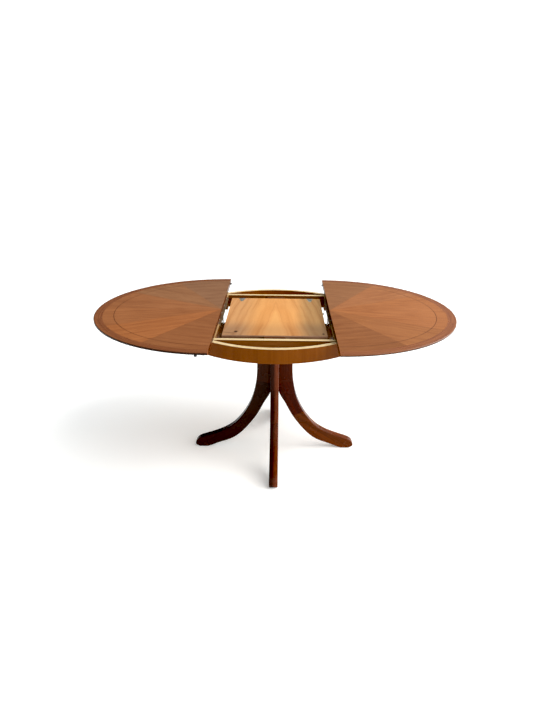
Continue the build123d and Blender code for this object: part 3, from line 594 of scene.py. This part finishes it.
# %% Aprons, rails and bearers
apron_tones = (tint(115, 63, 16), tint(101, 53, 12), tint(70, 35, 10))
rail_tones = (tint(124, 78, 40), tint(96, 58, 28), tint(62, 34, 18))
bearer_tones = (tint(82, 48, 24), tint(56, 32, 18), tint(34, 18, 12))
apron_grain = {"long": 0.5, "broad": 0.022, "fine": 0.0026}
apron_wood = straight_wood("apron_wood", "z", apron_tones, 8, 0.26, BARE_EDGE, **apron_grain)
rail_wood = straight_wood("rail_wood", "x", rail_tones, 9, 0.34, BARE_EDGE)
cross_wood = straight_wood("cross_rail_wood", "y", rail_tones, 10, 0.36, DULL_EDGE)
bearer_wood_x = straight_wood("bearer_wood_x", "x", bearer_tones, 11)
bearer_wood_y = straight_wood("bearer_wood_y", "y", bearer_tones, 12)
print("frame wood ready, bare above", round(BARE_ABOVE, 4), "m")


# %% Wood that was only planed, and the dark brown runners, guides and glue blocks
def beech(name, axis, tones, seed, rough):
    return straight_wood(name, axis, tones, seed, rough, broad=0.006)


bare_tones = (tint(226, 190, 138), tint(200, 158, 106), tint(150, 108, 66))
dark_brown_tones = (tint(92, 52, 26), tint(66, 36, 18), tint(40, 20, 10))
bare_wood = beech("bare_beech", "x", bare_tones, 13, 0.5)
end_grain = beech("bare_beech_upright", "z", bare_tones, 15, 0.5)
dark_brown_wood = beech("dark_brown_beech", "x", dark_brown_tones, 16, 0.42)
dark_brown_across = beech("stained_beech_across", "y", dark_brown_tones, 17, 0.42)
dark_brown_upright = beech("stained_beech_upright", "z", dark_brown_tones, 18, 0.42)
print("beech ready, bare and stained")

# %% [markdown]
# ## The legs
#
# Each leg is cut from three blocks glued end to end, so that the grain never
# runs out across the curve. Under a deep glossy lacquer the blocks keep their
# own tones, and the right leg has redder blocks above a golden one. The tones
# also hold painted light: the left leg is painted darker, as it stands in
# shade, the front column lighter where light falls on it, and each leg darker
# on its side turned from the light. One finish for all the legs would lose
# both the turning grain and the joints, so each block gets its own, with its
# fibres leaning as it lies.

# %% How each block lies, its tone, and the painted light on each leg
OUTWARD = {"left": (-1, 0), "right": (1, 0), "front": (0, -1), "back": (0, 1)}
BLOCK_LEAN = {"column": 0.0, "knee": 25.0, "foot": 58.0}  # degrees from upright
SHADED_SIDE = {"left": 0.3, "right": 0.35, "front": 0.9, "back": 0.3}
# block tones, with painted light: the left leg is painted darker, as it stands in shade, and the
# front column lighter, where light falls on it
BLOCK_TONE_AND_LIGHT = {
    ("left", "column"): 0.62, ("left", "knee"): 0.44, ("left", "foot"): 0.42,
    ("right", "column"): 0.78, ("right", "knee"): 0.68, ("right", "foot"): 1.08,
    ("front", "column"): 1.10, ("front", "knee"): 1.04, ("front", "foot"): 0.96,
    ("back", "column"): 0.80, ("back", "knee"): 0.72, ("back", "foot"): 0.84,
}
BLOCK_HUE = {
    ("right", "column"): (1.14, 0.86, 0.62), ("right", "knee"): (1.18, 0.76, 0.58),
    ("right", "foot"): (1.00, 0.94, 0.50),
}
LEG_LIGHT, LEG_DARK, LEG_RIBBON = (120, 62, 38), (82, 43, 30), (50, 30, 23)
LEG_SHADE = (30, 13, 9)
LEG_PORE, LEG_SCUFF = tint(30, 15, 10), tint(132, 84, 56)
RIBBON_SIZES = (6.0, 40.0, 40.0)
SHADE_EDGE = (-0.008, 0.010)  # across the leg's thickness
SCUFF_HEIGHT = (0.004, 0.050)
print(len(BLOCK_TONE_AND_LIGHT), "leg blocks, with tones from", min(BLOCK_TONE_AND_LIGHT.values()), "up")


# %% The finish of one glued block
def leg_block(name, outward, lean, tone, hue, shaded_side, seed):
    finish = Finish(name)
    x, y, z = parts_of(finish, place(finish))
    reach = x * outward[0] + y * outward[1]
    sideways = y * outward[0] - x * outward[1]
    slope = math.radians(lean)
    along = z * math.cos(slope) - reach * math.sin(slope)
    across = z * math.sin(slope) + reach * math.cos(slope)
    fibre_place = joined(finish, along, across, sideways)
    grain = fibres(finish, fibre_place, seed, long=0.26, broad=0.009, fine=0.0014)
    light, dark, ribbon_wood = (
        tint(*(part * tone * share for part, share in zip(wood, hue)))
        for wood in (LEG_LIGHT, LEG_DARK, LEG_RIBBON)
    )
    body = wood_colour(finish, grain, light, dark, LEG_PORE, 0.4)
    ribbon = noise(finish, scaled(finish, fibre_place, RIBBON_SIZES), detail=2.0)
    ribbon = above(finish, ribbon, 0.4, 0.8)
    body = mixed(finish, ribbon * 0.3, body, ribbon_wood)

    # painted shade: each leg is darker on the side turned from the light, most of all the front
    # leg's left half
    shade = shaded_side * below(finish, sideways, *SHADE_EDGE)
    body = mixed(finish, shade, body, tint(*(part * tone for part in LEG_SHADE)))

    # the foot is scuffed near the floor
    scuff = noise(finish, place(finish), scale=60.0, detail=4.0, rough=0.7)
    scuffed = above(finish, scuff, 0.56, 0.66) * below(finish, z, *SCUFF_HEIGHT)
    body = mixed(finish, scuffed * 0.25, body, LEG_SCUFF)
    worn = noise(finish, place(finish), scale=16.0, detail=4.0)
    rough = 0.20 + worn * 0.14 + scuffed * 0.3
    relief = raised(finish, grain[1] * 0.4 - grain[2] * 0.8, GRAIN_RELIEF)
    return finish.surface(Base_Color=body, Roughness=rough, Normal=relief, Specular_IOR_Level=0.17)


# %% All the blocks
leg_finishes = {}
for seed, ((leg, block), tone) in enumerate(BLOCK_TONE_AND_LIGHT.items(), start=20):
    hue = BLOCK_HUE.get((leg, block), (1, 1, 1))
    leg_finishes[f"leg_{leg}_{block}_block"] = leg_block(
        f"{leg}_{block}_wood", OUTWARD[leg], BLOCK_LEAN[block], tone, hue, SHADED_SIDE[leg], seed
    )
print(len(leg_finishes), "leg blocks finished")

# %% [markdown]
# ## Metal, plastic and felt
#
# The fittings are cheap and plain: rolled steel angles that have browned, a
# dull zinc plate on the hinges and locks, bright screws, black enamelled arms
# and levers, moulded pins and felt soles. A single colour each would be
# quicker, but plating blooms in patches, enamel chips and felt has nap, so
# each is a short finish with its own noise.

# %% Plated steel
PLATE_STAIN = tint(96, 84, 72)
BRUSHED_X, BRUSHED_Y, BRUSHED_Z = (9.0, 900.0, 900.0), (900.0, 9.0, 900.0), (600.0, 600.0, 60.0)


def plated(name, light, dark, rough, brushed, seed, metal=0.9):
    """Metal with clouds in the plate; brushed stretches its fine lines along x, y or z."""
    finish = Finish(name)
    point = place(finish)
    clouds = noise(finish, point, scale=38.0, detail=5.0, rough=0.65)
    spangle_place = {"Vector": point, "Scale": 190.0}
    spangle = finish.add("ShaderNodeTexVoronoi", values=spangle_place, output=1)
    lines = noise(finish, scaled(finish, point, brushed), scale=1.0, detail=2.0)
    body = mixed(finish, above(finish, clouds, 0.35, 0.68), light, dark)
    body = mixed(finish, 0.10, body, spangle, "OVERLAY")
    stain = above(finish, noise(finish, point, scale=90.0 + seed, detail=3.0), 0.66, 0.74)
    body = mixed(finish, stain * 0.4, body, PLATE_STAIN)
    rough = rough + clouds * 0.18 + lines * 0.1
    relief = raised(finish, lines + clouds * 0.3, LACQUERED_RELIEF)
    metallic = metal - stain * 0.4
    return finish.surface(Base_Color=body, Roughness=rough, Metallic=metallic, Normal=relief)


brown_steel = plated(
    "browned_steel", tint(122, 98, 72), tint(86, 68, 48), 0.42, BRUSHED_Y, 1, metal=0.5
)
zinc_plate = plated(
    "zinc_plate", tint(204, 206, 196), tint(150, 152, 142), 0.28, BRUSHED_X, 2
)
bright_steel = plated(
    "bright_screws", tint(196, 196, 192), tint(140, 140, 138), 0.24, BRUSHED_Z, 3
)
print("metals ready")

# %% Black enamel and moulded plastic
DUST, CHIPPED_STEEL = tint(92, 88, 84), tint(130, 126, 120)


def black_skin(name, colour, rough, pebble, chips):
    """pebble is how fine the skin's texture is, chips how bare the chipped spots are."""
    finish = Finish(name)
    point = place(finish)
    skin = noise(finish, point, scale=pebble, detail=2.0)
    dust = above(finish, noise(finish, point, scale=24.0, detail=5.0), 0.5, 0.8)
    body = mixed(finish, dust * 0.25, colour, DUST)
    chipped = above(finish, noise(finish, point, scale=150.0, detail=4.0), 0.70, 0.73) * chips
    body = mixed(finish, chipped, body, CHIPPED_STEEL)
    relief = raised(finish, skin - chipped, LACQUERED_RELIEF)
    rough = rough + dust * 0.25
    return finish.surface(Base_Color=body, Roughness=rough, Metallic=chipped * 0.7, Normal=relief)


black_enamel = black_skin("black_enamel", tint(30, 30, 32), 0.3, 700.0, 0.8)
black_plastic = black_skin("black_plastic", tint(26, 26, 27), 0.42, 1400.0, 0.0)
print("black parts ready")

# %% Felt
felt = Finish("dark_felt")
nap = noise(felt, place(felt), scale=900.0, detail=4.0, rough=0.7)
press = noise(felt, place(felt), scale=60.0, detail=3.0)
dark_felt = felt.surface(
    Base_Color=mixed(felt, nap * 0.7 + press * 0.3, tint(22, 19, 17), tint(74, 66, 58)),
    Roughness=0.85 + nap * 0.1, Normal=raised(felt, nap, 0.0004),
    Specular_IOR_Level=0.15, Sheen_Weight=0.3,
)
print("felt ready")

# %% [markdown]
# ## Giving every piece its finish
#
# The solids stay as they were drawn; a finish is put in each one's material
# slots. It could be done by rules on the names, but a plain list keeps it
# clear which piece gets what, and the loop stops if a piece is forgotten.

# %% Finish by piece
finishes = {
    "top_left_panel": left_top,
    "top_right_panel": right_top,
    "top_left_edge_band": left_rim,
    "top_right_edge_band": right_rim,
    "leaf_upper_panel": upper_board,
    "leaf_lower_panel": lower_board,
    "leaf_upper_edge_strip": upper_strip,
    "leaf_lower_edge_strip": lower_strip,
    "apron_front": apron_wood,
    "apron_back": apron_wood,
    "rail_front": rail_wood,
    "rail_back": rail_wood,
    "cross_rail_left": cross_wood,
    "cross_rail_right": cross_wood,
    "bearer_x": bearer_wood_x,
    "bearer_y": bearer_wood_y,
    "core_post": end_grain,
    "runners_left": dark_brown_wood,
    "runners_right": dark_brown_wood,
    "runner_battens_left": dark_brown_across,
    "runner_battens_right": dark_brown_across,
    "runner_guides": dark_brown_wood,
    "corner_blocks": dark_brown_upright,
    "leaf_rests": bare_wood,
    "dowels": end_grain,
    "foot_soles": dark_felt,
    "glide_pads_left": dark_felt,
    "glide_pads_right": dark_felt,
    "top_left_locating_pin": black_plastic,
    "leaf_side_pin": black_plastic,
    "top_right_locating_pin": bright_steel,
    "lock_lever_front": black_enamel,
    "lock_lever_back": black_enamel,
    "swing_arms_and_bar": black_enamel,
    "steel_angles": brown_steel,
    "lock_bases": zinc_plate,
    "lock_keepers": zinc_plate,
    "leaf_upper_hinge_leaves": zinc_plate,
    "leaf_lower_hinge_leaves": zinc_plate,
    "leaf_brackets": zinc_plate,
    "leaf_pins": bright_steel,
    "centre_bolt_set": bright_steel,
    "frame_screws": bright_steel,
    "leaf_upper_screws": bright_steel,
    "leaf_lower_screws": bright_steel,
    "top_left_screws": bright_steel,
    "top_right_screws": bright_steel,
    **leg_finishes,
}
forgotten = sorted(set(nodes) - set(finishes))
assert not forgotten, forgotten
for name, material in finishes.items():
    mesh = nodes[name].data
    if not mesh.materials:
        mesh.materials.append(material)
    for slot in range(len(mesh.materials)):
        mesh.materials[slot] = material
print(len(finishes), "pieces have a finish")

# %% [markdown]
# ## The room
#
# A pale floor, white surroundings and one broad window of light from the
# right. A ring of small lamps would give hard, busy shadows; one large soft
# source leaves the left sides dark and keeps a single gentle shadow. The
# floor also gives a weak light of its own, which keeps that shadow pale.

# %% The floor
FLOOR_REACH = 14.0
FLOOR_PAINT = grey(0.86), (0.84, 0.85, 0.83, 1.0)
FLOOR_GLOW = (0.96, 1.0, 0.97, 1.0)
CORNER_SIGNS = ((-1, -1), (1, -1), (1, 1), (-1, 1))
corners = [(x * FLOOR_REACH, y * FLOOR_REACH, 0.0) for x, y in CORNER_SIGNS]
floor_mesh = bpy.data.meshes.new("floor")
floor_mesh.from_pydata(corners, [], [(0, 1, 2, 3)])
floor = bpy.data.objects.new("floor", floor_mesh)
bpy.context.scene.collection.objects.link(floor)
floor_finish = Finish("pale_floor")
floor_cloud = noise(floor_finish, place(floor_finish), scale=2.5, detail=4.0)
floor_paint = floor_finish.surface(
    Base_Color=mixed(floor_finish, floor_cloud, *FLOOR_PAINT),
    Roughness=0.55 + floor_cloud * 0.1, Specular_IOR_Level=0.2,
    Emission_Color=FLOOR_GLOW, Emission_Strength=0.28,
)
floor_mesh.materials.append(floor_paint)
print("floor of", 2 * FLOOR_REACH, "m")

# %% The white surroundings
# The room is seen as plain white, but it lights the table more softly than
# that, and more from above.
LIGHT_SIDE = (0.72, -0.30, 0.60)  # the way to the brightest part: right, front and up
LIGHT_EDGE = (-0.25, 0.95)
DIM_SIDE = (0.13, 0.13, 0.135, 1.0)
LIT_SIDE = (1.30, 1.32, 1.36, 1.0)
SEEN_WHITE = grey(1.1)
world = bpy.data.worlds.new("white_room")
room = Tree(world)
sides = {0: room.add("ShaderNodeTexCoord", output=0), 1: LIGHT_SIDE}
towards_light = room.add("ShaderNodeVectorMath", {"operation": "DOT_PRODUCT"}, sides, output=1)
lighting = mixed(room, above(room, towards_light, *LIGHT_EDGE), DIM_SIDE, LIT_SIDE)
seen = room.add("ShaderNodeLightPath", output=0)
walls = {"Color": mixed(room, seen, lighting, SEEN_WHITE), "Strength": 1.0}
room.fill(room.tree.nodes["Background"], walls)
bpy.context.scene.world = world
print("surroundings ready")

# %% Soft lamps
DAYLIGHT = (1.0, 0.99, 0.97)


def lamp(kind, name, location, aim, power, **shape):
    data = bpy.data.lights.new(name, kind)
    data.energy = power
    data.color = DAYLIGHT
    for part, value in shape.items():
        setattr(data, part, value)
    holder = bpy.data.objects.new(name, data)
    holder.location = location
    holder.rotation_mode = "QUATERNION"
    holder.rotation_quaternion = (Vector(aim) - Vector(location)).to_track_quat("-Z", "Y")
    bpy.context.scene.collection.objects.link(holder)


SKY_PLACE, SKY_AIM, SKY_STRENGTH = (3.0, -1.3, 3.0), (0.0, 0.0, 0.0), 2.6
SKY_SPREAD = math.radians(50.0)  # wide, so that its shadow is soft
WINDOW_PLACE, WINDOW_AIM, WINDOW_WATTS = (2.9, 0.2, 1.9), (0.3, 0.0, 0.6), 60.0
WINDOW_SHAPE = {"shape": "RECTANGLE", "size": 1.8, "size_y": 1.4}
lamp("SUN", "day", SKY_PLACE, SKY_AIM, SKY_STRENGTH, angle=SKY_SPREAD)
lamp("AREA", "window", WINDOW_PLACE, WINDOW_AIM, WINDOW_WATTS, **WINDOW_SHAPE)
print("lamps ready")

# %% [markdown]
# ## The camera
#
# It stands in front of the table and above it, and looks down a little. It
# could be aimed by a constraint, but its place and its three turns were
# measured, so they are set as numbers and turned into its matrix.

# %% Where the camera stands and how it is turned
CAMERA_PLACE = (0.0211, -2.6584, 1.5354)
CAMERA_TURNS = (21.640, -0.012, 0.685)  # degrees: down, to the left, and rolled
CAMERA_LENS = 29.757
SENSOR_WIDTH = 36.0
FARTHEST = 60.0
pitch, yaw, roll = (math.radians(angle) for angle in CAMERA_TURNS)
ahead = (-math.sin(yaw) * math.cos(pitch), math.cos(yaw) * math.cos(pitch), -math.sin(pitch))
forward = Vector(ahead)
level = Vector((math.cos(yaw), math.sin(yaw), 0.0))
upright = level.cross(forward)
right = math.cos(roll) * level + math.sin(roll) * upright
up = math.cos(roll) * upright - math.sin(roll) * level
print("the camera looks along", [round(part, 3) for part in forward])

# %% The camera itself
camera_data = bpy.data.cameras.new("camera")
camera_data.sensor_width = SENSOR_WIDTH
camera_data.lens = CAMERA_LENS
camera_data.clip_end = FARTHEST
camera = bpy.data.objects.new("camera", camera_data)
turned = Matrix((right, up, -forward)).transposed().to_4x4()
camera.matrix_world = Matrix.Translation(CAMERA_PLACE) @ turned
bpy.context.scene.collection.objects.link(camera)
bpy.context.scene.camera = camera
print("camera at", CAMERA_PLACE)

# %% Plain colours, with the darkest tones pulled down to black
DARKEST = 0.020
view = bpy.context.scene.view_settings
view.view_transform = "Standard"
view.use_curve_mapping = True
view.curve_mapping.black_level = (DARKEST, DARKEST, DARKEST)
view.curve_mapping.update()
print("black from", DARKEST, "down")
